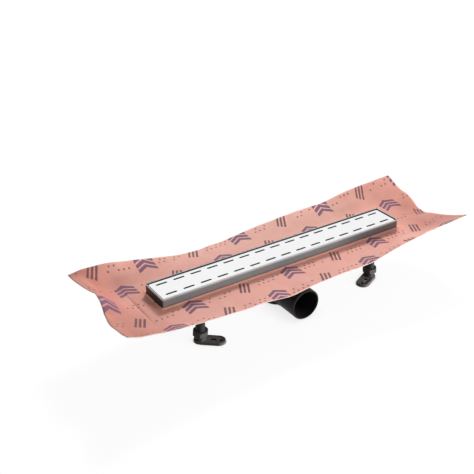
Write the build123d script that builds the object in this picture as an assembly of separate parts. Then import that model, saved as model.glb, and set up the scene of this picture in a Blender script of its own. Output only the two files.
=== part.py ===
from build123d import *
import os

# Linear shower drain with its sealing sheet, in millimetres, +Z up.
# The origin is on the floor under the middle of the drain. X runs along the
# channel, the outlet spigot leaves towards -Y and the feet stand on Z = 0.

# Folded and welded steel channel
STEEL = 1.5                 # thickness of the sheet steel
RIM_LENGTH = 448.0          # outside of the upstand
RIM_WIDTH = 52.0
RIM_CORNER_R = 2.5
UPSTAND_HEIGHT = 16.0       # rim above the flange
FLANGE_MARGIN = 26.0        # flange beyond the upstand, all round
FLANGE_CORNER_R = 12.0
LEDGE_WIDTH = 3.5           # inner ledge that carries the cover
TROUGH_DEPTH = 16.0         # ledge above the floor at the outlet
TROUGH_FALL = 2.5           # rise of the floor from the outlet to each end
TROUGH_FLAT = 56.0          # length of level floor round the outlet
WASTE_X = -4.0              # waste hole and trap from the middle of the channel
TROUGH_BEND_R = 2.0         # outside bend along the bottom of the trough

# Slotted cover, a shallow tray standing on the ledge
COVER_GAP = 1.5             # gap between the cover and the upstand
COVER_RECESS = 1.0          # cover below the rim
COVER_EDGE_R = 1.0
SLOT_LENGTH = 18.5
SLOT_WIDTH = 3.4
SLOT_PITCH = 29.0
SLOT_END_MARGIN = 8.5       # least steel between a slot and the cover's end
SLOT_ROW_INSET = 8.3        # middle of a slot row to the cover's long edge

# Sealing sheet bonded to the flange
SHEET_T = 1.0
BOND_T = 0.2                # adhesive between the flange and the sheet
SHEET_END_LAP = 63.0        # sheet beyond the flange at each end
SHEET_SIDE_LAP = 44.0       # sheet beyond the flange at each long side
SHEET_HOLE_GAP = 0.3        # cut edge round the upstand
SHEET_COLUMNS = 52          # spans of the surface grid
SHEET_ROWS = 16

# Height of the sheet's edges above the flange, at even stations:
# the long edges from left to right, the inner stations of the ends from front to rear.
FRONT_LIFT = (30, 15, 9, 6, 5.5, -1.5, 3, 4, 4.5, 14, 22, 27, 30)
REAR_LIFT = (24, 26, 16, 5, -2.5, -1.5, 5.5, 10, 13, 14, 22, 26, 27)
LEFT_INNER_LIFT = (24.6, 21.3, 16.8, 15, 19.2, 28.8, 31.9, 28.4, 26.4, 26, 25.3)
RIGHT_INNER_LIFT = (22.7, 14.7, 8.6, 3.5, -0.7, -4.1, -3, 6.8, 12.1, 14.2, 19.8)
LEFT_PULL = 7.0             # the raised left end drawn inwards
LEFT_PULL_AT = 0.15         # its middle and half width, as shares of the half width of the sheet
LEFT_PULL_SPREAD = 0.7

# Moulded trap with the outlet spigot
SPIGOT_R = 25.0             # outside of the 50 mm spigot
SPIGOT_WALL = 2.5
SPIGOT_REACH = 74.0         # end of the spigot from the middle of the well
SPIGOT_CHAMFER = 1.0
SPIGOT_FLOOR_GAP = 1.5      # under the spigot
STOP_RING_STEP = 0.8        # stop ring for the drain pipe's socket
STOP_RING_REACH = 28.5
WELL_MARGIN = 2.0           # well radius beyond the spigot radius
WELL_WALL = 2.5
WELL_FLOOR_T = 2.0
WELL_BOTTOM_R = 6.0
TRAP_HEADROOM = 1.0         # trap top above the spigot
TRAP_TOP_T = 4.0
THREAD_COLLAR_WALL = 2.8    # collar under the trap top that the waste flange screws into

# Waste flange, gaskets and strainer in the trough
LOWER_GASKET_T = 2.0
GASKET_INSET = 1.0          # gasket edge inside the trap's edge
UPPER_GASKET_T = 1.0
WASTE_SIDE_GAP = 0.5        # flange disc to the trough walls
WASTE_LIP = 2.5             # disc beyond the neck
WASTE_DISC_T = 2.0
NECK_WALL = 1.5
NECK_GRIP = 8.5             # neck below the trap top
THREAD_GAP = 0.2            # radial gap in a made-up thread
HOLE_GAP = 0.3              # floor hole round the neck
SHOULDER_WIDTH = 1.5        # shoulder in the neck that carries the dip tube
SHOULDER_H = 6.0
STRAINER_T = 1.2
STRAINER_SIDE_GAP = 0.5
STRAINER_SLOTS = 8
STRAINER_SLOT_WIDTH = 2.4
STRAINER_SLOT_START = 6.5
STRAINER_SLOT_MARGIN = 2.6
KNOB_R = 4.0
KNOB_H = 7.0
KNOB_EDGE_R = 1.2

# Removable water seal
SEAL_T = 1.5
INSERT_GAP = 0.3            # radial gap of the insert in the neck
COLLAR_T = 2.0              # collar at the top of the dip tube
DIP_WALL = 1.2
DIP_CUP_GAP = 5.0           # mouth of the dip tube above the cup's floor
CUP_WALL = 1.3
CUP_PASSAGE = 4.1           # radial passage between dip tube and cup
CUP_EXIT_GAP = 8.0          # cup rim below the neck
CUP_FLOOR_GAP = 2.5         # cup above the well's floor
CUP_RIBS = 3
CUP_RIB_T = 1.4
CUP_RIB_DROP = 6.0          # ribs below the cup's rim
CLIP_GAP = 0.1

# Levelling legs
LEG_END_INSET = 85.0        # leg axis from the end of the flange
LEG_SIDE_OFFSET = 6.0       # leg axis outside the upstand
LEG_SHIFT = -2.0            # leg pattern from the middle of the channel
STUD_R = 7.0                # moulded 14 mm stud
STUD_CHAMFER = 1.0
STUD_GRIP = 16.0            # stud inside the bush
BUSH_WALL = 1.7
BUSH_LENGTH = 24.5
BUSH_END_T = 1.5            # closed top of the bush
LOCK_NUT_FLATS = 22.0
LOCK_NUT_H = 6.0
HEX_FLATS = 22.0            # moulded hexagon on the levelling bolt
HEX_H = 12.0
HEX_CORNER_BEVEL = 2.2      # height of the cone that bevels a hexagon's corners
HEX_FOOT_R = 8.4            # the hexagon's lower part tapers to this radius
HEX_TAPER_H = 6.0
NUT_CORNER_BEVEL = 1.2
RUNNING_GAP = 0.3           # between pieces that turn or slide on each other
PIN_R = 4.5
PIN_BEVEL = 0.6
PAD_R = 10.5                # half width of the oblong pad
PAD_REACH = 27.0            # leg axis to the middle of the pad's far end
PAD_T = 3.2
PAD_RIM_WIDTH = 1.6
PAD_RIM_H = 0.8             # rim above the pad
PAD_EDGE_BEVEL = 0.5
PAD_BOSS_WALL = 3.2
PAD_BOSS_H = 3.8            # boss above the pad
PAD_FLOOR_T = 1.2           # pad under the pin
SCREW_HOLE_R = 2.75
SCREW_HOLE_REACH = 30.0
SCREW_SLOT_LENGTH = 11.0
SCREW_SLOT_REACH = 18.5

# Leg positions as signs along X and Y, the pad's heading and the hexagon's, in degrees
LEGS = {
    "front_left": (-1, -1, -40, 236),
    "front_right": (1, -1, 206, 231),
    "rear_left": (-1, 1, 40, 124),
    "rear_right": (1, 1, 154, 129),
}

# Levels above the floor
SPIGOT_Z = SPIGOT_FLOOR_GAP + SPIGOT_R
TRAP_TOP_Z = SPIGOT_Z + SPIGOT_R + TRAP_HEADROOM
FLOOR_LOW_Z = TRAP_TOP_Z + LOWER_GASKET_T
FLOOR_TOP_Z = FLOOR_LOW_Z + STEEL
FLANGE_TOP_Z = FLOOR_TOP_Z + TROUGH_DEPTH
FLANGE_LOW_Z = FLANGE_TOP_Z - STEEL
RIM_Z = FLANGE_TOP_Z + UPSTAND_HEIGHT
COVER_TOP_Z = RIM_Z - COVER_RECESS
WASTE_SEAT_Z = FLOOR_TOP_Z + UPPER_GASKET_T
WASTE_TOP_Z = WASTE_SEAT_Z + WASTE_DISC_T
NECK_LOW_Z = TRAP_TOP_Z - NECK_GRIP
SHOULDER_Z = NECK_LOW_Z + SHOULDER_H
WELL_FLOOR_Z = SPIGOT_FLOOR_GAP + WELL_FLOOR_T
BUSH_LOW_Z = FLANGE_LOW_Z - BUSH_LENGTH
PAD_BOSS_Z = PAD_T + PAD_BOSS_H
HEX_LOW_Z = PAD_BOSS_Z + RUNNING_GAP
HEX_TOP_Z = HEX_LOW_Z + HEX_H

# Widths and radii that follow from the driving sizes
FLANGE_LENGTH = RIM_LENGTH + 2 * FLANGE_MARGIN
FLANGE_WIDTH = RIM_WIDTH + 2 * FLANGE_MARGIN
SHEET_LENGTH = FLANGE_LENGTH + 2 * SHEET_END_LAP
SHEET_WIDTH = FLANGE_WIDTH + 2 * SHEET_SIDE_LAP
TROUGH_LENGTH = RIM_LENGTH - 2 * (STEEL + LEDGE_WIDTH)
TROUGH_WIDTH = RIM_WIDTH - 2 * (STEEL + LEDGE_WIDTH)
COVER_LENGTH = RIM_LENGTH - 2 * (STEEL + COVER_GAP)
COVER_WIDTH = RIM_WIDTH - 2 * (STEEL + COVER_GAP)
WELL_R = SPIGOT_R + WELL_MARGIN
WASTE_R = TROUGH_WIDTH / 2 - WASTE_SIDE_GAP
NECK_R = WASTE_R - WASTE_LIP
NECK_BORE_R = NECK_R - NECK_WALL
SHOULDER_R = NECK_BORE_R - SHOULDER_WIDTH
INSERT_R = NECK_BORE_R - INSERT_GAP
CUP_R = SHOULDER_R - INSERT_GAP
CUP_BORE_R = CUP_R - CUP_WALL
DIP_R = CUP_BORE_R - CUP_PASSAGE
BUSH_BORE_R = STUD_R + RUNNING_GAP


def plate(length, width, z_low, z_high, corner_r):
    """Flat block with rounded upright corners, centred on the Z axis."""
    outline = RectangleRounded(length, width, corner_r)
    return extrude(Pos(0, 0, z_low) * outline, z_high - z_low)


def turned(*outline):
    """Solid of revolution about the Z axis from (radius, height) corners."""
    return revolve(Plane.XZ * make_face(Polyline(*outline, close=True)), Axis.Z)


def ring(outer_r, inner_r, z_low, z_high):
    """Plain ring about the Z axis."""
    return turned((inner_r, z_low), (outer_r, z_low), (outer_r, z_high), (inner_r, z_high))


def rod(radius, z_low, z_high):
    """Plain upright cylinder on the Z axis."""
    return Pos(0, 0, z_low) * extrude(Circle(radius), z_high - z_low)


def spigot_rod(radius, reach):
    """Cylinder along the spigot, from the middle of the well out towards -Y."""
    return extrude(Pos(0, 0, SPIGOT_Z) * (Plane.XZ * Circle(radius)), reach)


def hexagon(flats, z_low, z_high, bevel):
    """Hexagonal prism with its corners bevelled at both ends."""
    corner_r = flats / 3 ** 0.5
    flat_r = flats / 2
    prism = extrude(Pos(0, 0, z_low) * RegularPolygon(corner_r, 6), z_high - z_low)
    envelope = turned(
        (0, z_low),
        (flat_r, z_low),
        (corner_r, z_low + bevel),
        (corner_r, z_high - bevel),
        (flat_r, z_high),
        (0, z_high),
    )
    return prism & envelope


def trough_block(wall, top_z):
    """Solid under the ledge whose floor falls to a level stretch at the outlet, grown by a wall."""
    half_length = TROUGH_LENGTH / 2 + wall
    half_width = TROUGH_WIDTH / 2 + wall
    low_z = FLOOR_TOP_Z - wall
    side = Polyline(
        (-half_length, top_z),
        (-half_length, low_z + TROUGH_FALL),
        (WASTE_X - TROUGH_FLAT / 2, low_z),
        (WASTE_X + TROUGH_FLAT / 2, low_z),
        (half_length, low_z + TROUGH_FALL),
        (half_length, top_z),
        close=True,
    )
    block = extrude(Plane.XZ * make_face(side), half_width, both=True)
    corner_r = RIM_CORNER_R - STEEL + wall
    return block & plate(2 * half_length, 2 * half_width, low_z, top_z, corner_r)


def channel_body():
    """Upstand, flange and trough, welded into one piece."""
    trough = trough_block(STEEL, FLANGE_TOP_Z)
    long_bottom_edges = trough.faces().filter_by(Axis.Z, reverse=True).edges().filter_by(
        lambda edge: abs(edge.tangent_at(0.5).X) > 0.9 and edge.center().Z < FLANGE_LOW_Z)
    trough = fillet(long_bottom_edges, TROUGH_BEND_R)
    body = plate(FLANGE_LENGTH, FLANGE_WIDTH, FLANGE_LOW_Z, FLANGE_TOP_Z, FLANGE_CORNER_R)
    body += plate(RIM_LENGTH, RIM_WIDTH, FLANGE_LOW_Z, RIM_Z, RIM_CORNER_R)
    body += trough
    body -= plate(RIM_LENGTH - 2 * STEEL, RIM_WIDTH - 2 * STEEL, FLANGE_TOP_Z, RIM_Z, RIM_CORNER_R - STEEL)
    body -= trough_block(0, FLANGE_TOP_Z)
    return body - Pos(WASTE_X, 0, 0) * rod(NECK_R + HOLE_GAP, FLOOR_LOW_Z, FLOOR_TOP_Z)


def cover_grate():
    """Folded tray with two rows of slots, standing on the channel's ledge."""
    tray = plate(COVER_LENGTH, COVER_WIDTH, FLANGE_TOP_Z, COVER_TOP_Z, RIM_CORNER_R)
    tray = fillet(tray.faces().sort_by(Axis.Z)[-1].edges(), COVER_EDGE_R)
    under_z = COVER_TOP_Z - STEEL
    tray -= plate(COVER_LENGTH - 2 * STEEL, COVER_WIDTH - 2 * STEEL, FLANGE_TOP_Z, under_z,
                  RIM_CORNER_R - STEEL)
    slot_run = COVER_LENGTH - 2 * SLOT_END_MARGIN - SLOT_LENGTH
    slots_in_row = int(slot_run / SLOT_PITCH) + 1
    row_spacing = COVER_WIDTH - 2 * SLOT_ROW_INSET
    slots = GridLocations(SLOT_PITCH, row_spacing, slots_in_row, 2) * SlotOverall(SLOT_LENGTH, SLOT_WIDTH)
    return tray - extrude(Pos(0, 0, under_z) * Sketch(slots), STEEL)


def along_edge(heights, share):
    """Height on a smooth curve through evenly spaced heights, at a share of its length."""
    spans = len(heights) - 1
    place = share * spans
    span = min(int(place), spans - 1)
    t = place - span
    start = heights[span]
    end = heights[span + 1]
    before = heights[max(span - 1, 0)]
    after = heights[min(span + 2, spans)]
    leaving = (end - before) / 2
    arriving = (after - start) / 2
    blend = t * t * (3 - 2 * t)
    return start + (end - start) * blend + leaving * t * (1 - t) ** 2 - arriving * t * t * (1 - t)


def rise(distance, lap):
    """Share of the edge's height that the sheet has gained at a distance outside the flange."""
    share = max(distance, 0) / lap
    return (share + share * share) / 2


def sheet_point(across_x, across_y):
    """Point of the sheet's underside from its place on the flat sheet, -1 to 1 each way."""
    x = across_x * SHEET_LENGTH / 2
    y = across_y * SHEET_WIDTH / 2
    end = rise(abs(x) - FLANGE_LENGTH / 2, SHEET_END_LAP)
    side = rise(abs(y) - FLANGE_WIDTH / 2, SHEET_SIDE_LAP)
    long_edge = REAR_LIFT if y > 0 else FRONT_LIFT
    nearest = -1 if x > 0 else 0
    inner = RIGHT_INNER_LIFT if x > 0 else LEFT_INNER_LIFT
    short_edge = (FRONT_LIFT[nearest], *inner, REAR_LIFT[nearest])
    side_lift = along_edge(long_edge, (across_x + 1) / 2)
    end_lift = along_edge(short_edge, (across_y + 1) / 2)
    lift = side * side_lift + end * end_lift - side * end * long_edge[nearest]
    if x < 0:
        off_middle = min(abs(across_y - LEFT_PULL_AT) / LEFT_PULL_SPREAD, 1)
        x += LEFT_PULL * end * (1 - off_middle ** 2) ** 2
    return (x, y, FLANGE_TOP_Z + BOND_T + lift)


def sealing_membrane():
    """One waved sheet, flat on the flange, with a cut-out round the upstand."""
    grid = [
        [sheet_point(2 * i / SHEET_COLUMNS - 1, 2 * j / SHEET_ROWS - 1) for i in range(SHEET_COLUMNS + 1)]
        for j in range(SHEET_ROWS + 1)
    ]
    sheet = Solid.extrude(Face.make_surface_from_array_of_points(grid), (0, 0, SHEET_T))
    cut_length = RIM_LENGTH + 2 * SHEET_HOLE_GAP
    cut_width = RIM_WIDTH + 2 * SHEET_HOLE_GAP
    return sheet - plate(cut_length, cut_width, FLANGE_LOW_Z, RIM_Z, RIM_CORNER_R + SHEET_HOLE_GAP)


def trap_body():
    """Round well under the outlet with the horizontal spigot and its stop ring."""
    well = rod(WELL_R, SPIGOT_FLOOR_GAP, TRAP_TOP_Z)
    well = fillet(well.edges().sort_by(Axis.Z)[0], WELL_BOTTOM_R)
    spigot = spigot_rod(SPIGOT_R, SPIGOT_REACH)
    spigot = chamfer(spigot.edges().sort_by(Axis.Y)[0], SPIGOT_CHAMFER)
    body = well + spigot + spigot_rod(SPIGOT_R + STOP_RING_STEP, STOP_RING_REACH)
    inside_r = WELL_R - WELL_WALL
    cavity = rod(inside_r, WELL_FLOOR_Z, TRAP_TOP_Z - TRAP_TOP_T)
    cavity = fillet(cavity.edges().sort_by(Axis.Z)[0], WELL_BOTTOM_R - WELL_FLOOR_T)
    cavity += spigot_rod(SPIGOT_R - SPIGOT_WALL, SPIGOT_REACH)
    thread_r = NECK_R + THREAD_GAP
    body -= cavity
    body += ring(thread_r + THREAD_COLLAR_WALL, thread_r, NECK_LOW_Z, TRAP_TOP_Z - TRAP_TOP_T)
    return body - rod(thread_r, NECK_LOW_Z, TRAP_TOP_Z)


def lower_gasket():
    """Flat ring between the trap and the trough floor."""
    return ring(WELL_R - GASKET_INSET, NECK_R + HOLE_GAP, TRAP_TOP_Z, FLOOR_LOW_Z)


def upper_gasket():
    """Flat ring between the trough floor and the waste flange."""
    return ring(WASTE_R, NECK_R + HOLE_GAP, FLOOR_TOP_Z, WASTE_SEAT_Z)


def waste_flange():
    """Disc in the trough with a threaded neck and an inner shoulder."""
    return turned(
        (NECK_BORE_R, WASTE_TOP_Z),
        (WASTE_R, WASTE_TOP_Z),
        (WASTE_R, WASTE_SEAT_Z),
        (NECK_R, WASTE_SEAT_Z),
        (NECK_R, NECK_LOW_Z),
        (SHOULDER_R, NECK_LOW_Z),
        (SHOULDER_R, SHOULDER_Z),
        (NECK_BORE_R, SHOULDER_Z),
    )


def dip_tube_seal():
    """Rubber ring on the shoulder under the dip tube's collar."""
    return ring(INSERT_R, SHOULDER_R, SHOULDER_Z, SHOULDER_Z + SEAL_T)


def cup_levels():
    """Underside, floor and rim of the siphon cup."""
    low_z = WELL_FLOOR_Z + CUP_FLOOR_GAP
    return low_z, low_z + CUP_WALL, NECK_LOW_Z - CUP_EXIT_GAP


def dip_tube():
    """Inlet tube with a funnelled collar resting on the seal."""
    bore_r = DIP_R - DIP_WALL
    collar_low_z = SHOULDER_Z + SEAL_T
    collar_top_z = collar_low_z + COLLAR_T
    mouth_z = cup_levels()[1] + DIP_CUP_GAP
    return turned(
        (bore_r, mouth_z),
        (DIP_R, mouth_z),
        (DIP_R, collar_low_z),
        (INSERT_R, collar_low_z),
        (INSERT_R, collar_top_z),
        (bore_r + COLLAR_T, collar_top_z),
        (bore_r, collar_low_z),
    )


def siphon_cup():
    """Cup round the dip tube, with ribs that clip onto the tube."""
    low_z, floor_z, rim_z = cup_levels()
    cup = rod(CUP_R, low_z, rim_z) - rod(CUP_BORE_R, floor_z, rim_z)
    rib_start = DIP_R + CLIP_GAP
    rib_run = (CUP_BORE_R + CUP_R) / 2 - rib_start
    rib_top_z = rim_z - CUP_RIB_DROP
    rib = Pos(rib_start, 0, floor_z) * Box(
        rib_run, CUP_RIB_T, rib_top_z - floor_z, align=(Align.MIN, Align.CENTER, Align.MIN))
    for turn in range(CUP_RIBS):
        cup += Rot(0, 0, 360 * turn / CUP_RIBS) * rib
    return cup


def hair_strainer():
    """Slotted disc on the waste flange with a knob to lift it by."""
    outer_r = WASTE_R - STRAINER_SIDE_GAP
    disc = rod(outer_r, WASTE_TOP_Z, WASTE_TOP_Z + STRAINER_T)
    slot_end = NECK_BORE_R - STRAINER_SLOT_MARGIN
    slot_length = slot_end - STRAINER_SLOT_START
    slot = Pos((slot_end + STRAINER_SLOT_START) / 2, 0) * SlotOverall(slot_length, STRAINER_SLOT_WIDTH)
    cutter = extrude(Pos(0, 0, WASTE_TOP_Z) * slot, STRAINER_T)
    for turn in range(STRAINER_SLOTS):
        disc -= Rot(0, 0, 360 * turn / STRAINER_SLOTS) * cutter
    knob_top_z = WASTE_TOP_Z + STRAINER_T + KNOB_H
    knob = rod(KNOB_R, WASTE_TOP_Z, knob_top_z)
    return disc + fillet(knob.edges().sort_by(Axis.Z)[-1], KNOB_EDGE_R)


def leg_bush():
    """Blind threaded bush welded under the flange."""
    outer_r = BUSH_BORE_R + BUSH_WALL
    return rod(outer_r, BUSH_LOW_Z, FLANGE_LOW_Z) - rod(BUSH_BORE_R, BUSH_LOW_Z, FLANGE_LOW_Z - BUSH_END_T)


def lock_nut():
    """Nut run up against the bush."""
    low_z = BUSH_LOW_Z - LOCK_NUT_H
    nut = hexagon(LOCK_NUT_FLATS, low_z, BUSH_LOW_Z, NUT_CORNER_BEVEL)
    return nut - rod(BUSH_BORE_R, low_z, BUSH_LOW_Z)


def levelling_bolt():
    """Stud with a moulded hexagon, tapered below, and a pin that sits in the pad."""
    stud_top_z = BUSH_LOW_Z + STUD_GRIP
    stud = rod(STUD_R, HEX_TOP_Z, stud_top_z)
    stud = chamfer(stud.edges().sort_by(Axis.Z)[-1], STUD_CHAMFER)
    pin = rod(PIN_R, PAD_FLOOR_T + RUNNING_GAP, HEX_LOW_Z)
    pin = chamfer(pin.edges().sort_by(Axis.Z)[0], PIN_BEVEL)
    corner_r = HEX_FLATS / 3 ** 0.5
    taper = turned(
        (0, HEX_LOW_Z),
        (HEX_FOOT_R, HEX_LOW_Z),
        (corner_r, HEX_LOW_Z + HEX_TAPER_H),
        (corner_r, HEX_TOP_Z),
        (0, HEX_TOP_Z),
    )
    return stud + (hexagon(HEX_FLATS, HEX_LOW_Z, HEX_TOP_Z, HEX_CORNER_BEVEL) & taper) + pin


def pad_outline(inset):
    """Oblong of the pad, shrunk by an inset, with one end on the leg axis."""
    return Pos(PAD_REACH / 2, 0) * SlotCenterToCenter(PAD_REACH, 2 * (PAD_R - inset))


def foot_pad():
    """Oblong pad with a raised rim, a socket for the pin, a screw slot and a screw hole."""
    pad = extrude(pad_outline(0), PAD_T + PAD_RIM_H)
    pad = chamfer(pad.faces().sort_by(Axis.Z)[-1].edges(), PAD_EDGE_BEVEL)
    pad -= extrude(Pos(0, 0, PAD_T) * pad_outline(PAD_RIM_WIDTH), PAD_RIM_H)
    socket_r = PIN_R + RUNNING_GAP
    pad += rod(socket_r + PAD_BOSS_WALL, 0, PAD_BOSS_Z)
    pad -= rod(socket_r, PAD_FLOOR_T, PAD_BOSS_Z)
    slot = Pos(SCREW_SLOT_REACH, 0) * SlotOverall(SCREW_SLOT_LENGTH, 2 * SCREW_HOLE_R)
    pad -= extrude(slot, PAD_T)
    return pad - Pos(SCREW_HOLE_REACH, 0) * rod(SCREW_HOLE_R, 0, PAD_T)


def save(node, shape):
    """Write one named piece."""
    export_step(shape, f"parts/{node}.step")


os.makedirs("parts", exist_ok=True)

for piece in (channel_body, cover_grate, sealing_membrane):
    save(piece.__name__, piece())

TRAP_PIECES = (
    trap_body,
    lower_gasket,
    upper_gasket,
    waste_flange,
    dip_tube_seal,
    dip_tube,
    siphon_cup,
    hair_strainer,
)
for piece in TRAP_PIECES:
    save(piece.__name__, Pos(WASTE_X, 0, 0) * piece())

leg_x = FLANGE_LENGTH / 2 - LEG_END_INSET
leg_y = RIM_WIDTH / 2 + LEG_SIDE_OFFSET
for leg, (side_x, side_y, pad_heading, hex_heading) in LEGS.items():
    at_leg = Pos(LEG_SHIFT + side_x * leg_x, side_y * leg_y, 0)
    save(f"leg_bush_{leg}", at_leg * leg_bush())
    save(f"lock_nut_{leg}", at_leg * lock_nut())
    save(f"levelling_bolt_{leg}", at_leg * Rot(0, 0, hex_heading) * levelling_bolt())
    save(f"foot_pad_{leg}", at_leg * Rot(0, 0, pad_heading) * foot_pad())
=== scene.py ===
import math
from functools import partial

import bmesh
import bpy
from bpy.props import FloatProperty, FloatVectorProperty, IntProperty, PointerProperty
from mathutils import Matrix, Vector, noise


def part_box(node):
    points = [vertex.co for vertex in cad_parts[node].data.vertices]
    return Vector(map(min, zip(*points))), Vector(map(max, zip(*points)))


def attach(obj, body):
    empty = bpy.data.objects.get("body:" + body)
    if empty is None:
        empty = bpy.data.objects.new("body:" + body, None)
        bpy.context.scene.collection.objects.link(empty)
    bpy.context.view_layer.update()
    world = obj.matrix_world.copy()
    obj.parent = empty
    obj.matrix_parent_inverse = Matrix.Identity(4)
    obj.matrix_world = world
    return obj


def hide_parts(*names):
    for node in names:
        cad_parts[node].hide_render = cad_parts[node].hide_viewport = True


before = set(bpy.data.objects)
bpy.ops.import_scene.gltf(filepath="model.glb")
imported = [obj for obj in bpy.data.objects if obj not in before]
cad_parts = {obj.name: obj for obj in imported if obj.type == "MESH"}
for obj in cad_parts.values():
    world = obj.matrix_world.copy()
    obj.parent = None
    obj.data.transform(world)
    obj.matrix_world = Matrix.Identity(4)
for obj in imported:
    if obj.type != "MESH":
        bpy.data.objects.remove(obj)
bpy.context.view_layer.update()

# Looks of a linear shower drain: a printed sealing sheet, a slotted steel cover in its
# channel, a moulded trap and four levelling legs. Sizes are in metres, +Z is up.

bl_info = {
    "name": "Linear shower drain",
    "version": (1, 0, 0),
    "blender": (4, 5, 0),
    "location": "View3D > Sidebar > Drain",
    "description": "Dresses the drain's solids with a sealing sheet, threads, finishes and a stage",
    "category": "Object",
}

MM = 0.001
LEG_NAMES = ("front_left", "front_right", "rear_left", "rear_right")


def node_size(node):
    """Lowest corner and size of a solid at rest."""
    low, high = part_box(node)
    return low, high - low


CHANNEL_LOW, CHANNEL_SIZE = node_size("channel_body")
FLANGE_MARGIN = 26 * MM     # flange beyond the upstand, all round
RIM_Z = CHANNEL_LOW.z + CHANNEL_SIZE.z
RIM_HALF_LENGTH = CHANNEL_SIZE.x / 2 - FLANGE_MARGIN
RIM_HALF_WIDTH = CHANNEL_SIZE.y / 2 - FLANGE_MARGIN
PAD_TOP = 4.0 * MM          # top of a foot pad's rim
HEXAGON_TOP = 19.2 * MM     # top of a levelling bolt's hexagon
RIM_WALL = 1.5 * MM         # thickness of the upstand's folded wall

# Settings that share a unit or a subtype
LengthProperty = partial(FloatProperty, unit="LENGTH")
LiftsProperty = partial(FloatVectorProperty, size=13, unit="LENGTH")
ColorProperty = partial(FloatVectorProperty, subtype="COLOR")


class SheetSettings(bpy.types.PropertyGroup):
    """Sizes and colours of the sealing sheet."""

    length: LengthProperty(name="Length", description="Flat length of the sheet", default=626 * MM)
    width: LengthProperty(name="Width", description="Flat width of the sheet", default=192 * MM)
    thickness: LengthProperty(name="Thickness", description="Thickness of the sheet", default=1 * MM)
    bond: LengthProperty(name="Bond", description="Adhesive between flange and sheet", default=0.2 * MM)
    flange_length: LengthProperty(
        name="Flange length", description="Level part along the channel", default=CHANNEL_SIZE.x)
    flange_width: LengthProperty(
        name="Flange width", description="Level part across the channel", default=CHANNEL_SIZE.y)
    hole_length: LengthProperty(
        name="Hole length", description="Cut-out round the upstand", default=448.6 * MM)
    hole_width: LengthProperty(
        name="Hole width", description="Cut-out round the upstand", default=52.6 * MM)
    hole_corner: LengthProperty(
        name="Hole corner", description="Corner radius of the cut-out", default=2.8 * MM)
    flange_top: LengthProperty(
        name="Flange top", description="Height of the flange's upper face", default=72 * MM)
    front_lift: LiftsProperty(
        name="Front lift", description="Height of the front edge at even stations, left to right",
        default=[mm * MM for mm in (30, 15, 9, 6, 5.5, -1.5, 3, 4, 4.5, 14, 22, 27, 30)])
    rear_lift: LiftsProperty(
        name="Rear lift", description="Height of the rear edge at even stations, left to right",
        default=[mm * MM for mm in (24, 26, 16, 5, -2.5, -1.5, 5.5, 10, 13, 14, 22, 26, 27)])
    left_lift: LiftsProperty(
        name="Left lift", description="Height of the left end at even stations, front to rear",
        default=[mm * MM for mm in (30, 24.6, 21.3, 16.8, 15, 19.2, 28.8, 31.9, 28.4, 26.4, 26, 25.3, 24)])
    right_lift: LiftsProperty(
        name="Right lift", description="Height of the right end at even stations, front to rear",
        default=[mm * MM for mm in (30, 22.7, 14.7, 8.6, 3.5, -0.7, -4.1, -3, 6.8, 12.1, 14.2, 19.8, 27)])
    left_pull: LengthProperty(
        name="Left pull", description="How far the raised left end is drawn in", default=7 * MM)
    left_pull_at: FloatProperty(
        name="Left pull place", description="Middle of that stretch, as a share of the half width",
        default=0.15)
    left_pull_spread: FloatProperty(
        name="Left pull spread", description="Half width of that stretch, as a share", default=0.7)
    mesh_step: LengthProperty(
        name="Mesh step", description="Spacing of the sheet's mesh lines", default=3 * MM)
    pucker_height: LengthProperty(
        name="Pucker height", description="Small unevenness of the loose laps", default=0.9 * MM)
    pucker_size: LengthProperty(
        name="Pucker size", description="Length of that unevenness", default=30 * MM)
    crease_depth: LengthProperty(
        name="Crease depth", description="Dip beside the flange's left end", default=1.3 * MM)
    crease_width: LengthProperty(name="Crease width", description="Width of that dip", default=2 * MM)
    crease_middle: LengthProperty(
        name="Crease middle", description="Middle of that dip across the channel", default=-5 * MM)
    crease_reach: LengthProperty(
        name="Crease reach", description="Length over which it fades out each way", default=34 * MM)
    turn_up: LengthProperty(
        name="Turned-up edge", description="Rise of the cut-out's edge at the upstand", default=1.8 * MM)
    turn_width: LengthProperty(name="Turned-up width", description="Width of that rise", default=4.5 * MM)
    face_color: ColorProperty(name="Face", description="Colour of the sheet", default=(0.845, 0.42, 0.355))
    # Colour of random deeper patches. As a painted shade, it is also laid towards the rear right, where the
    # sheet has less sheen than at the front.
    patch_and_shade_color: ColorProperty(
        name="Deep face", description="Colour of its deeper patches, mostly at the rear right",
        default=(0.80, 0.325, 0.245))
    # Painted shade: a darker colour laid on the loose ends of the sheet in place of their shading.
    shaded_end_color: ColorProperty(
        name="Shaded ends", description="Colour of the duller loose ends", default=(0.52, 0.185, 0.138))
    # Painted light: a paler colour laid on the rear lap, as if more light fell there.
    lap_light_color: ColorProperty(
        name="Rear lap", description="Colour of the paler rear lap", default=(0.93, 0.52, 0.44))
    stain_color: ColorProperty(
        name="Mottle", description="Colour that shows faintly through the fleece",
        default=(0.40, 0.20, 0.13))
    # Painted shade: a redder colour along the upstand, where its shadow falls on the sheet.
    shadow_tint_color: ColorProperty(
        name="Foot", description="Colour of the sheet along the upstand", default=(0.90, 0.37, 0.28))
    chevron_color: ColorProperty(
        name="Chevrons", description="Colour of the broad printed marks", default=(0.105, 0.042, 0.115))
    stroke_color: ColorProperty(
        name="Strokes", description="Colour of the slanted printed marks and dots",
        default=(0.085, 0.016, 0.032))
    back_color: ColorProperty(
        name="Back", description="Colour of the unprinted underside", default=(0.50, 0.29, 0.24))
    edge_color: ColorProperty(
        name="Edge", description="Colour of the cut edges", default=(0.74, 0.60, 0.54))


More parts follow.
